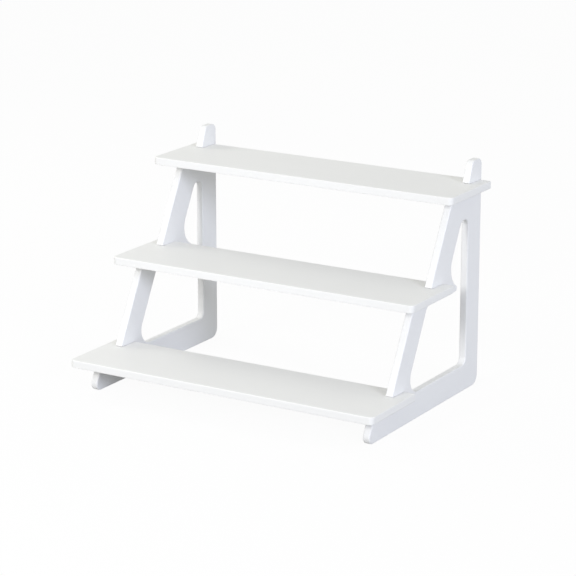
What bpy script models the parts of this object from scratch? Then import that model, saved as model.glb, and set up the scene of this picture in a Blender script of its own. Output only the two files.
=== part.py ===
"""Stepped display shelf: two cut side panels and three equal shelves that slot into them.

Metres, +Z up, shelves along X, front towards -Y. The origin is on the floor, under the
middle of the stand.
"""
import math

import bpy
from mathutils import Matrix, Vector

for leftover in list(bpy.data.objects):
    bpy.data.objects.remove(leftover, do_unlink=True)

# Boards
BOARD = 0.009
EDGE_EASE = 0.0015
FIT_GAP = 0.0003

# Shelves
SHELF_LENGTH = 0.400
SHELF_DEPTH = 0.098
SHELF_FRONT_RADIUS = 0.006
SHELF_REAR_RADIUS = 0.003
END_OVERHANG = 0.0147

# Steps
LOWER_SHELF_TOP = 0.0405
TIER_RISE = 0.1025
TIER_GOING = 0.088

# Side panels, measured back from the front edge of the shelf at that step
LEDGE_SETBACK = 0.0315
STRUT_SETBACK = 0.070
NOTCH_GRIP = 0.006
RAIL_WIDTH = 0.0313
LOWER_STRUT_WIDTH = 0.0315
UPPER_STRUT_WIDTH = 0.035
POST_PROUD = 0.004
EAR_HEIGHT = 0.025
EAR_TOP_WIDTH = 0.022

# Corner radii of the side panels
TOE_RADIUS = 0.008
HEEL_RADIUS = 0.012
EAR_REAR_RADIUS = 0.0075
EAR_FRONT_RADIUS = 0.005
STRUT_FOOT_RADIUS = 0.003
LEDGE_RADIUS = 0.003
SILL_RADIUS = 0.018
WINDOW_RADIUS = 0.008
ARMPIT_RADIUS = 0.010

# Tongue that the window leaves behind the middle step, under the strut's wide rear curve
TONGUE_DEPTH = 0.0085
TONGUE_REACH = 0.0465
TONGUE_SLOPE = math.radians(30)
TONGUE_TIP_RADIUS = 0.004
TONGUE_CURVE_RADIUS = 0.026

ARC_STEP = math.radians(13)

# Derived sizes
STAND_DEPTH = 2 * TIER_GOING + SHELF_DEPTH + POST_PROUD
FRONT = -STAND_DEPTH / 2
REAR = STAND_DEPTH / 2
NOTCH_END = STRUT_SETBACK + NOTCH_GRIP
LEAN = (TIER_GOING + LEDGE_SETBACK - STRUT_SETBACK) / (TIER_RISE - BOARD)
PANEL_X = SHELF_LENGTH / 2 - END_OVERHANG - BOARD / 2


def shelf_front(step):
    return FRONT + step * TIER_GOING


def shelf_top(step):
    return LOWER_SHELF_TOP + step * TIER_RISE


def shelf_under(step):
    return shelf_top(step) - BOARD


def strut_rear(step, height):
    """Where the rear edge of the strut that stands on a step is, at a height."""
    width = (LOWER_STRUT_WIDTH, UPPER_STRUT_WIDTH)[step]
    foot = shelf_front(step) + STRUT_SETBACK + width * math.hypot(1, LEAN)
    return foot + LEAN * (height - shelf_top(step))


def rounded(corners):
    """Closed outline through (along, up, radius) corners, with arcs that share the edges between them."""
    spots = [Vector(corner[:2]) for corner in corners]
    count = len(corners)
    halves = []
    reaches = []
    for index, spot in enumerate(spots):
        half = (spots[index - 1] - spot).angle(spots[(index + 1) % count] - spot) / 2
        halves.append(half)
        reaches.append(corners[index][2] / math.tan(half))
    points = []
    for index, spot in enumerate(spots):
        following = (index + 1) % count
        back = spots[index - 1] - spot
        ahead = spots[following] - spot
        if reaches[index] == 0:
            points.append(spot)
            continue
        spare_back = 0.98 * back.length / (reaches[index - 1] + reaches[index])
        spare_ahead = 0.98 * ahead.length / (reaches[index] + reaches[following])
        reach = reaches[index] * min(1, spare_back, spare_ahead)
        radius = reach * math.tan(halves[index])
        inward = (back.normalized() + ahead.normalized()).normalized()
        centre = spot + inward * radius / math.sin(halves[index])
        first = spot + back.normalized() * reach - centre
        last = spot + ahead.normalized() * reach - centre
        turn = -first.angle_signed(last)
        steps = max(2, round(abs(turn) / ARC_STEP))
        for step in range(steps + 1):
            points.append(centre + Matrix.Rotation(turn * step / steps, 2) @ first)
    return points


def paint(name, colour, roughness):
    material = bpy.data.materials.new(name)
    material.use_nodes = True
    shader = material.node_tree.nodes["Principled BSDF"]
    shader.inputs["Base Color"].default_value = (*colour, 1)
    shader.inputs["Roughness"].default_value = roughness
    shader.inputs["Metallic"].default_value = 0
    return material


def board(name, outlines, material, collection):
    """Flat board cut to its outlines, with every edge eased."""
    curve = bpy.data.curves.new(name, "CURVE")
    curve.dimensions = "2D"
    curve.fill_mode = "BOTH"
    curve.extrude = BOARD / 2 - EDGE_EASE
    curve.bevel_depth = EDGE_EASE
    curve.bevel_resolution = 1
    curve.offset = -EDGE_EASE
    for outline in outlines:
        spline = curve.splines.new("POLY")
        spline.points.add(len(outline) - 1)
        for point, (along, up) in zip(spline.points, outline):
            point.co = (along, up, 0, 1)
        spline.use_cyclic_u = True
    curve.materials.append(material)
    piece = bpy.data.objects.new(name, curve)
    collection.objects.link(piece)
    return piece


def panel_outline():
    """Outer edge of a side panel, from the toe along the floor, up the post and down the steps."""
    toe = shelf_front(0) + LEDGE_SETBACK - LEAN * shelf_under(0)
    ear_top = shelf_top(2) + EAR_HEIGHT
    corners = [
        (toe, 0, TOE_RADIUS),
        (REAR, 0, HEEL_RADIUS),
        (REAR, ear_top, EAR_REAR_RADIUS),
        (REAR - EAR_TOP_WIDTH, ear_top, EAR_FRONT_RADIUS),
    ]
    for step in (2, 1, 0):
        front = shelf_front(step)
        corners += [
            (front + STRUT_SETBACK, shelf_top(step) + FIT_GAP, STRUT_FOOT_RADIUS),
            (front + NOTCH_END, shelf_top(step) + FIT_GAP, 0),
            (front + NOTCH_END, shelf_under(step) - FIT_GAP, 0),
            (front + LEDGE_SETBACK, shelf_under(step) - FIT_GAP, LEDGE_RADIUS),
        ]
    return rounded(corners)


def window_outline():
    """Edge of the window behind the struts, with the tongue under the middle step."""
    post = REAR - RAIL_WIDTH
    sill = shelf_under(0)
    head = shelf_under(2) - RAIL_WIDTH
    tongue_under = shelf_under(1) - TONGUE_DEPTH
    tongue_tip = shelf_front(1) + SHELF_DEPTH + TONGUE_REACH
    drop = math.tan(TONGUE_SLOPE)
    level_gap = tongue_tip - strut_rear(1, tongue_under)
    curve_height = tongue_under + level_gap * drop / (1 + LEAN * drop)
    return rounded([
        (strut_rear(0, sill), sill, SILL_RADIUS),
        (post, sill, WINDOW_RADIUS),
        (post, head, WINDOW_RADIUS),
        (strut_rear(1, head), head, WINDOW_RADIUS),
        (strut_rear(1, curve_height), curve_height, TONGUE_CURVE_RADIUS),
        (tongue_tip, tongue_under, TONGUE_TIP_RADIUS),
        (strut_rear(0, tongue_under), tongue_under, ARMPIT_RADIUS),
    ])


def shelf_outline():
    """A shelf seen from above, with a slot for each panel in its rear edge."""
    end = SHELF_LENGTH / 2
    half_depth = SHELF_DEPTH / 2
    slot_end = NOTCH_END - FIT_GAP - half_depth
    half_slot = BOARD / 2 + FIT_GAP
    corners = [
        (-end, -half_depth, SHELF_FRONT_RADIUS),
        (end, -half_depth, SHELF_FRONT_RADIUS),
        (end, half_depth, SHELF_REAR_RADIUS),
    ]
    for side in (1, -1):
        centre = side * PANEL_X
        corners += [
            (centre + half_slot, half_depth, 0),
            (centre + half_slot, slot_end, 0),
            (centre - half_slot, slot_end, 0),
            (centre - half_slot, half_depth, 0),
        ]
    corners.append((-end, half_depth, SHELF_REAR_RADIUS))
    return rounded(corners)


stand = bpy.data.collections.new("stepped_display_shelf")
bpy.context.scene.collection.children.link(stand)

panel_paint = paint("panel_paint", (0.86, 0.87, 0.89), 0.42)
shelf_paint = paint("shelf_paint", (0.87, 0.87, 0.86), 0.42)

for side_name, side in (("left", -1), ("right", 1)):
    panel = board("side_panel_" + side_name, [panel_outline(), window_outline()], panel_paint, stand)
    panel.rotation_euler = (math.pi / 2, 0, math.pi / 2)
    panel.location = (side * PANEL_X, 0, 0)

for step, step_name in enumerate(("lower", "middle", "upper")):
    shelf = board("shelf_" + step_name, [shelf_outline()], shelf_paint, stand)
    shelf.location = (0, shelf_front(step) + SHELF_DEPTH / 2, shelf_top(step) - BOARD / 2)
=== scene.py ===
import math

import bmesh
import bpy
from mathutils import Matrix, Vector


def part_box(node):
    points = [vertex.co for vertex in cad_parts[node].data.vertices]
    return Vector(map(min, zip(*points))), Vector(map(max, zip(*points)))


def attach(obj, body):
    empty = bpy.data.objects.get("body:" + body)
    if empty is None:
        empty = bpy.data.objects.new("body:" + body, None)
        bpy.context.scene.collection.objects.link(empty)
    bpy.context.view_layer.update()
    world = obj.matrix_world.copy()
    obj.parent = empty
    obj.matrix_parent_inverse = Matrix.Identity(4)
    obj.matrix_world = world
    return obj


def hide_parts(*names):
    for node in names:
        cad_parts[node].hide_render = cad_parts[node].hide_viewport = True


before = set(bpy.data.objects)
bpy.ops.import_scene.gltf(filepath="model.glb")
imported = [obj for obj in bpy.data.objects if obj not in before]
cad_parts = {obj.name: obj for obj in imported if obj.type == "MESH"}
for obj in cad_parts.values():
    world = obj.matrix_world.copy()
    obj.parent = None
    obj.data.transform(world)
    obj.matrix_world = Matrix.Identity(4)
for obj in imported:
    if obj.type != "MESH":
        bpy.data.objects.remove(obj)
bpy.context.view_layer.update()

STEP_NAMES = ("lower", "middle", "upper")

# Where the boards lie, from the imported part
panel_low, panel_high = (Vector(corner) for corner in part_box("side_panel_right"))
shelf_boxes = [tuple(Vector(corner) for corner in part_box("shelf_" + step)) for step in STEP_NAMES]
BOARD = panel_high.x - panel_low.x
REAR = panel_high.y
EAR_TOP = panel_high.z
PANEL_X = (panel_low.x + panel_high.x) / 2
SHELF_LENGTH = shelf_boxes[0][1].x - shelf_boxes[0][0].x
SHELF_DEPTH = shelf_boxes[0][1].y - shelf_boxes[0][0].y
TIER_GOING = shelf_boxes[1][0].y - shelf_boxes[0][0].y
TIER_RISE = shelf_boxes[1][0].z - shelf_boxes[0][0].z

# Cutting sizes of the side panels. The first three go back from the front edge of the shelf at that step.
LEDGE_SETBACK = 0.0315
STRUT_SETBACK = 0.070
NOTCH_END = 0.076
RAIL_WIDTH = 0.0313
STRUT_WIDTHS = (0.0315, 0.035)
EAR_TOP_WIDTH = 0.022
FIT_GAP = 0.0003
LEAN = (TIER_GOING + LEDGE_SETBACK - STRUT_SETBACK) / (TIER_RISE - BOARD)

# Corner radii of the side panels
TOE_RADIUS = 0.008
HEEL_RADIUS = 0.012
EAR_REAR_RADIUS = 0.0075
EAR_FRONT_RADIUS = 0.0065
STRUT_FOOT_RADIUS = 0.0012
LEDGE_RADIUS = 0.003
SILL_RADIUS = 0.018
WINDOW_RADIUS = 0.008
ARMPIT_RADIUS = 0.010

# Tongue behind the middle step, under the strut's wide rear curve
TONGUE_DEPTH = 0.0085
TONGUE_REACH = 0.0465
TONGUE_SLOPE = math.radians(30)
TONGUE_TIP_RADIUS = 0.004
TONGUE_CURVE_RADIUS = 0.026

# Corner radii of the shelves
SHELF_FRONT_RADIUS = 0.006
SHELF_REAR_RADIUS = 0.0025

# Round-over at the upper and the lower face: open edges, edges that bear on a board, noses of the shelves
EDGE_EASE = 0.0015
BEARING_EASE = 0.0003
UNDER_NOSE_EASE = 0.0005
OPEN = Vector((EDGE_EASE, EDGE_EASE))
SQUARE = Vector((BEARING_EASE, BEARING_EASE))
NOSE = Vector((EDGE_EASE, UNDER_NOSE_EASE))

# Fineness of the boards. Two neighbouring arcs take up at most the arc share of the edge between them.
ARC_STEP = math.radians(4)
FEWEST_ARC_STEPS = 3
ARC_SHARE = 0.98
EASE_STEPS = 6
SHARP_ANGLE = math.radians(40)
FLAT_FACE_WEIGHT = 100
UPPER = 1
LOWER = -1

# Paint: depth below the face where the routed edge begins and is full, marks to the metre, sheen, relief
EDGE_BEGINS = 0.1 * EDGE_EASE
EDGE_FULL = 1.1 * EDGE_EASE
CLOUD_SCALE = 14
STREAK_SCALES = (9, 160, 160)
PEEL_SCALE = 520
FUZZ_SCALE = 1900
DARKEST_CLOUD = 0.975
SATIN_ROUGHNESS = 0.44
SATIN_GLOSS = 0.40
RELIEF_STRENGTH = 0.22
RELIEF_DEPTH = 0.00012

# Floor: its glow is the share of plain white that the eye sees there
FLOOR_RADIUS = 9
FLOOR_SEGMENTS = 96
FLOOR_DROP = 0.0004
FLOOR_GLOW = 0.95
SPECK_SCALE = 40

LAMP_AIM = Vector((0, 0, 0.12))

# Camera at the photograph's angle
VIEW_AZIMUTH = 31.15
VIEW_ELEVATION = 15.96
VIEW_DISTANCE = 2.7425
VIEW_AIM = Vector((0.0102, 0, 0.1234))
LENS = 149.41
SENSOR_WIDTH = 36

# A Mix node has sockets of one name for each kind of value, so those for colours go by number
MIX_SHARE = 0
MIX_FIRST = 6
MIX_SECOND = 7
MIX_RESULT = 2


class Value:
    """A socket of a finish. Arithmetic on it adds the Math nodes."""

    def __init__(self, finish, socket):
        self.finish = finish
        self.socket = socket

    def math(self, operation, *terms):
        return self.finish.node("ShaderNodeMath", {"operation": operation}, dict(enumerate(terms)))

    def __add__(self, other):
        return self.math("ADD", self, other)

    def __radd__(self, other):
        return self.math("ADD", other, self)

    def __sub__(self, other):
        return self.math("SUBTRACT", self, other)

    def __rsub__(self, other):
        return self.math("SUBTRACT", other, self)

    def __mul__(self, other):
        return self.math("MULTIPLY", self, other)

    def __rmul__(self, other):
        return self.math("MULTIPLY", other, self)

    def __abs__(self):
        return self.math("ABSOLUTE", self)

    def at_least(self, other):
        return self.math("MAXIMUM", self, other)


class Finish:
    """A material, or the world's surroundings, put together from nodes."""

    def __init__(self, owner):
        owner.use_nodes = True
        self.owner = owner
        self.tree = owner.node_tree
        self.tree.nodes.clear()

    def node(self, kind, settings=None, sockets=None, output=0):
        made = self.tree.nodes.new(kind)
        for name, setting in (settings or {}).items():
            setattr(made, name, setting)
        for key, given in (sockets or {}).items():
            if isinstance(given, Value):
                self.tree.links.new(given.socket, made.inputs[key])
            else:
                made.inputs[key].default_value = given
        return Value(self, made.outputs[output]) if made.outputs else None

    def noise(self, place, scale, detail=3):
        return self.node("ShaderNodeTexNoise", {}, {"Vector": place, "Scale": scale, "Detail": detail})

    def ramp(self, value, low, high):
        """Nought up to low, then smoothly up to one at high."""
        settings = {"interpolation_type": "SMOOTHSTEP"}
        return self.node("ShaderNodeMapRange", settings, {"Value": value, "From Min": low, "From Max": high})

    def blend(self, share, first, second):
        """Colour that goes from the first to the second as the share goes from nought to one."""
        sockets = {MIX_SHARE: share, MIX_FIRST: first, MIX_SECOND: second}
        return self.node("ShaderNodeMix", {"data_type": "RGBA"}, sockets, MIX_RESULT)

    def either(self, share, first, second):
        """Shader that goes from the first to the second as the share goes from nought to one."""
        return self.node("ShaderNodeMixShader", {}, {0: share, 1: first, 2: second})

    def seen(self):
        """One for rays from the eye, reflections and glass, nought for light that falls on the object."""
        rays = self.node("ShaderNodeLightPath").socket.node.outputs
        direct = Value(self, rays["Is Camera Ray"])
        mirrored = Value(self, rays["Is Glossy Ray"])
        through = Value(self, rays["Is Transmission Ray"])
        return direct.at_least(mirrored).at_least(through)


def grey(level):
    return (level, level, level, 1)


def board_paint(name, face_colour, edge_colour):
    """White satin paint over fibreboard: sprayed faces, and routed edges that drank more paint."""
    paint = Finish(bpy.data.materials.new(name))
    place = paint.node("ShaderNodeTexCoord", output="Object")
    across = paint.node("ShaderNodeSeparateXYZ", {}, {0: place}, output="Z")
    edge = paint.ramp(BOARD / 2 - abs(across), EDGE_BEGINS, EDGE_FULL)
    cloud = paint.noise(place, CLOUD_SCALE)
    drawn_out = paint.node("ShaderNodeVectorMath", {"operation": "MULTIPLY"}, {0: place, 1: STREAK_SCALES})
    streak = paint.noise(drawn_out, 1)
    peel = paint.noise(place, PEEL_SCALE, detail=2)
    fuzz = paint.noise(place, FUZZ_SCALE)
    dark_face = [DARKEST_CLOUD * part for part in face_colour[:3]] + [1]
    face = paint.blend(cloud * 0.6 + streak * 0.4, face_colour, dark_face)
    colour = paint.blend(edge * (0.55 + 0.45 * fuzz), face, edge_colour)
    relief = paint.node("ShaderNodeBump", {}, {
        "Strength": RELIEF_STRENGTH,
        "Distance": RELIEF_DEPTH,
        "Height": peel * (1 - edge) * 0.7 + streak * 0.25 + fuzz * edge * 0.9,
    })
    shader = paint.node("ShaderNodeBsdfPrincipled", {}, {
        "Base Color": colour,
        "Roughness": SATIN_ROUGHNESS + 0.07 * cloud + 0.03 * streak + 0.08 * edge,
        "Normal": relief,
        "Metallic": 0.0,
        "Specular IOR Level": SATIN_GLOSS,
    })
    paint.node("ShaderNodeOutputMaterial", {}, {"Surface": shader})
    return paint.owner


def rounded(corners):
    """Closed outline through (along, up, radius, ease) corners. Its arcs share the edges between them.

    A corner's ease is that of the edge after it, and each point of the outline comes with the ease there.
    """
    alongs, ups, radii, eases = zip(*corners)
    spots = [Vector(place) for place in zip(alongs, ups)]
    count = len(corners)
    halves = []
    reaches = []
    for index, spot in enumerate(spots):
        half = (spots[index - 1] - spot).angle(spots[(index + 1) % count] - spot) / 2
        halves.append(half)
        reaches.append(radii[index] / math.tan(half))
    points = []
    for index, spot in enumerate(spots):
        following = (index + 1) % count
        back = spots[index - 1] - spot
        ahead = spots[following] - spot
        ease_back = eases[index - 1]
        ease_ahead = eases[index]
        if reaches[index] == 0:
            points.append((spot, Vector(map(min, ease_back, ease_ahead))))
            continue
        spare_back = ARC_SHARE * back.length / (reaches[index - 1] + reaches[index])
        spare_ahead = ARC_SHARE * ahead.length / (reaches[index] + reaches[following])
        reach = reaches[index] * min(1, spare_back, spare_ahead)
        radius = reach * math.tan(halves[index])
        to_centre = (back.normalized() + ahead.normalized()).normalized()
        centre = spot + to_centre * radius / math.sin(halves[index])
        first = spot + back.normalized() * reach - centre
        last = spot + ahead.normalized() * reach - centre
        turn = -first.angle_signed(last)
        steps = max(FEWEST_ARC_STEPS, round(abs(turn) / ARC_STEP))
        for step in range(steps + 1):
            share = step / steps
            spot_on_arc = centre + Matrix.Rotation(turn * share, 2) @ first
            points.append((spot_on_arc, ease_back + (ease_ahead - ease_back) * share))
    return points


def inward(points):
    """How each point moves for the outline to go one unit into the board, which lies on its left."""
    moves = []
    for index, (point, _) in enumerate(points):
        before = (point - points[index - 1][0]).normalized()
        after = (points[(index + 1) % len(points)][0] - point).normalized()
        left_before = Vector((-before.y, before.x))
        left_after = Vector((-after.y, after.x))
        moves.append((left_before + left_after) / (1 + left_before.dot(left_after)))
    return moves


def board(name, outlines, finish):
    """Board with its outlines in the local XY plane, round-over edges and flat faces."""
    quarter = [math.pi / 2 * step / EASE_STEPS for step in range(EASE_STEPS + 1)]
    rings = [(LOWER, turn) for turn in reversed(quarter)] + [(UPPER, turn) for turn in quarter]
    shape = bmesh.new()
    caps = {LOWER: [], UPPER: []}
    for outline in outlines:
        moves = inward(outline)
        loops = []
        for side, turn in rings:
            loop = []
            for (spot, (upper_ease, lower_ease)), move in zip(outline, moves):
                ease = upper_ease if side == UPPER else lower_ease
                along, up = spot + move * ease * (1 - math.cos(turn))
                height = BOARD / 2 - ease * (1 - math.sin(turn))
                loop.append(shape.verts.new((along, up, side * height)))
            loops.append(loop)
        for lower, upper in zip(loops, loops[1:]):
            for index in range(len(lower)):
                shape.faces.new((lower[index - 1], lower[index], upper[index], upper[index - 1]))
        for side, loop in ((LOWER, loops[0]), (UPPER, loops[-1])):
            caps[side] += [shape.edges.get((loop[index - 1], loop[index])) for index in range(len(loop))]
    for side, edges in caps.items():
        bmesh.ops.triangle_fill(shape, use_beauty=True, edges=edges, normal=(0, 0, side))
    bmesh.ops.recalc_face_normals(shape, faces=shape.faces)
    mesh = bpy.data.meshes.new(name)
    shape.to_mesh(mesh)
    shape.free()
    mesh.shade_smooth()
    mesh.set_sharp_from_angle(angle=SHARP_ANGLE)
    mesh.materials.append(finish)
    piece = bpy.data.objects.new(name, mesh)
    bpy.context.scene.collection.objects.link(piece)
    weighted = piece.modifiers.new("even_faces", "WEIGHTED_NORMAL")
    weighted.weight = FLAT_FACE_WEIGHT
    weighted.keep_sharp = True
    return piece


def shelf_front(step):
    return shelf_boxes[step][0].y


def shelf_top(step):
    return shelf_boxes[step][1].z


def shelf_under(step):
    return shelf_boxes[step][0].z


def strut_rear(step, height):
    """Where the rear edge of the strut that stands on a step is, at a height."""
    foot = shelf_front(step) + STRUT_SETBACK + STRUT_WIDTHS[step] * math.hypot(1, LEAN)
    return foot + LEAN * (height - shelf_top(step))


def panel_edge():
    """Outer edge of a side panel, from the toe along the floor, up the post and down the steps."""
    toe = shelf_front(0) + LEDGE_SETBACK - LEAN * shelf_under(0)
    corners = [
        (toe, 0, TOE_RADIUS, OPEN),
        (REAR, 0, HEEL_RADIUS, OPEN),
        (REAR, EAR_TOP, EAR_REAR_RADIUS, OPEN),
        (REAR - EAR_TOP_WIDTH, EAR_TOP, EAR_FRONT_RADIUS, OPEN),
    ]
    for step in (2, 1, 0):
        front = shelf_front(step)
        corners += [
            (front + STRUT_SETBACK, shelf_top(step) + FIT_GAP, STRUT_FOOT_RADIUS, SQUARE),
            (front + NOTCH_END, shelf_top(step) + FIT_GAP, 0, SQUARE),
            (front + NOTCH_END, shelf_under(step) - FIT_GAP, 0, SQUARE),
            (front + LEDGE_SETBACK, shelf_under(step) - FIT_GAP, LEDGE_RADIUS, OPEN),
        ]
    return rounded(corners)


def window_edge():
    """Edge of the window behind the struts, turned round so that the board lies on its left."""
    post = REAR - RAIL_WIDTH
    sill = shelf_under(0)
    head = shelf_under(2) - RAIL_WIDTH
    tongue_under = shelf_under(1) - TONGUE_DEPTH
    tongue_tip = shelf_front(1) + SHELF_DEPTH + TONGUE_REACH
    drop = math.tan(TONGUE_SLOPE)
    curve_height = tongue_under + (tongue_tip - strut_rear(1, tongue_under)) * drop / (1 + LEAN * drop)
    return rounded([
        (strut_rear(0, sill), sill, SILL_RADIUS, OPEN),
        (post, sill, WINDOW_RADIUS, OPEN),
        (post, head, WINDOW_RADIUS, OPEN),
        (strut_rear(1, head), head, WINDOW_RADIUS, OPEN),
        (strut_rear(1, curve_height), curve_height, TONGUE_CURVE_RADIUS, OPEN),
        (tongue_tip, tongue_under, TONGUE_TIP_RADIUS, OPEN),
        (strut_rear(0, tongue_under), tongue_under, ARMPIT_RADIUS, OPEN),
    ])[::-1]


def shelf_edge():
    """Edge of a shelf seen from above, with a slot for each panel, eased at its mouth, in the rear edge."""
    end = SHELF_LENGTH / 2
    half_depth = SHELF_DEPTH / 2
    slot_end = NOTCH_END - FIT_GAP - half_depth
    half_slot = BOARD / 2 + FIT_GAP
    half_mouth = half_slot + EDGE_EASE
    corners = [
        (-end, -half_depth, SHELF_FRONT_RADIUS, NOSE),
        (end, -half_depth, SHELF_FRONT_RADIUS, OPEN),
        (end, half_depth, SHELF_REAR_RADIUS, OPEN),
    ]
    for side in (1, -1):
        centre = side * PANEL_X
        corners += [
            (centre + half_mouth, half_depth, 0, OPEN),
            (centre + half_slot, half_depth, 0, SQUARE),
            (centre + half_slot, slot_end, 0, SQUARE),
            (centre - half_slot, slot_end, 0, SQUARE),
            (centre - half_slot, half_depth, 0, OPEN),
            (centre - half_mouth, half_depth, 0, OPEN),
        ]
    corners.append((-end, half_depth, SHELF_REAR_RADIUS, OPEN))
    return rounded(corners)


def direction(azimuth, elevation):
    """Unit vector from the object to something seen at these angles, in degrees, from straight in front."""
    turn = math.radians(azimuth)
    lift = math.radians(elevation)
    return Vector((math.sin(turn) * math.cos(lift), -math.cos(turn) * math.cos(lift), math.sin(lift)))


def softbox(name, azimuth, elevation, distance, size, level, colour):
    """Round lamp that gives a white face square to it this level of brightness."""
    data = bpy.data.lights.new(name, "AREA")
    data.shape = "DISK"
    data.size = size
    data.energy = level * (math.pi * distance) ** 2
    data.color = colour
    lamp = bpy.data.objects.new(name, data)
    away = direction(azimuth, elevation)
    lamp.location = LAMP_AIM + away * distance
    lamp.rotation_euler = away.to_track_quat("Z", "Y").to_euler()
    bpy.context.scene.collection.objects.link(lamp)


# The boards. All of them carry one white paint. The panels' cooler tint and the shelves' warmer tint are
# painted light: the cool side light on the panel faces and the warmer light on the shelf tops.
panel_paint = board_paint(
    "panel_satin_white",
    face_colour=(0.870, 0.875, 0.885, 1),
    edge_colour=(0.875, 0.875, 0.870, 1),
)
shelf_paint = board_paint(
    "shelf_satin_white",
    face_colour=(0.875, 0.875, 0.865, 1),
    edge_colour=(0.878, 0.880, 0.876, 1),
)

for side_name, side in (("left", -1), ("right", 1)):
    panel = board("panel_" + side_name, [panel_edge(), window_edge()], panel_paint)
    panel.rotation_euler = (math.pi / 2, 0, math.pi / 2)
    panel.location = (side * PANEL_X, 0, 0)
    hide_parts("side_panel_" + side_name)
    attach(panel, "side_panels")

for step, step_name in enumerate(STEP_NAMES):
    shelf = board("board_" + step_name, [shelf_edge()], shelf_paint)
    shelf.location = (shelf_boxes[step][0] + shelf_boxes[step][1]) / 2
    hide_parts("shelf_" + step_name)
    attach(shelf, step_name + "_shelf")

# Floor: white to the eye, with the object's soft shadow kept
floor_mesh = bpy.data.meshes.new("floor")
disc = bmesh.new()
bmesh.ops.create_circle(disc, cap_ends=True, segments=FLOOR_SEGMENTS, radius=FLOOR_RADIUS)
disc.to_mesh(floor_mesh)
disc.free()
floor = bpy.data.objects.new("floor", floor_mesh)
floor.location.z = -FLOOR_DROP
bpy.context.scene.collection.objects.link(floor)

pale = Finish(bpy.data.materials.new("pale_floor"))
speck = pale.noise(pale.node("ShaderNodeTexCoord", output="Object"), SPECK_SCALE)
bounce = pale.blend(speck, grey(0.49), grey(0.51))
to_eye = pale.seen()
matt = pale.node("ShaderNodeBsdfDiffuse", {}, {"Color": pale.blend(to_eye, bounce, grey(0.9))})
glow = pale.node("ShaderNodeEmission", {}, {"Color": grey(1), "Strength": 1.0})
pale.node("ShaderNodeOutputMaterial", {}, {"Surface": pale.either(to_eye * FLOOR_GLOW, matt, glow)})
floor_mesh.materials.append(pale.owner)

# Studio light: white surroundings and softboxes that stand round the object
world = bpy.data.worlds.new("studio")
bpy.context.scene.world = world
studio = Finish(world)
fill = studio.node("ShaderNodeBackground", {}, {"Color": (0.99, 1.0, 0.96, 1), "Strength": 0.560})
backdrop = studio.node("ShaderNodeBackground", {}, {"Color": grey(1), "Strength": 1.0})
studio.node("ShaderNodeOutputWorld", {}, {"Surface": studio.either(studio.seen(), fill, backdrop)})

softbox(
    "front_softbox", azimuth=-12, elevation=22, distance=2.0, size=0.46,
    level=0.392, colour=(1.0, 0.99, 0.99),
)
softbox(
    "right_softbox", azimuth=64, elevation=17, distance=6.0, size=1.8,
    level=0.450, colour=(0.82, 0.855, 1.0),
)
softbox(
    "left_softbox", azimuth=-96, elevation=34, distance=1.6, size=0.6,
    level=0.180, colour=(1.0, 0.995, 0.95),
)

camera_data = bpy.data.cameras.new("camera")
camera_data.sensor_width = SENSOR_WIDTH
camera_data.lens = LENS
camera = bpy.data.objects.new("camera", camera_data)
to_camera = direction(VIEW_AZIMUTH, VIEW_ELEVATION)
camera.location = VIEW_AIM + to_camera * VIEW_DISTANCE
camera.rotation_euler = to_camera.to_track_quat("Z", "Y").to_euler()
bpy.context.scene.collection.objects.link(camera)
bpy.context.scene.camera = camera
bpy.context.scene.view_settings.view_transform = "Standard"

bpy.context.view_layer.update()
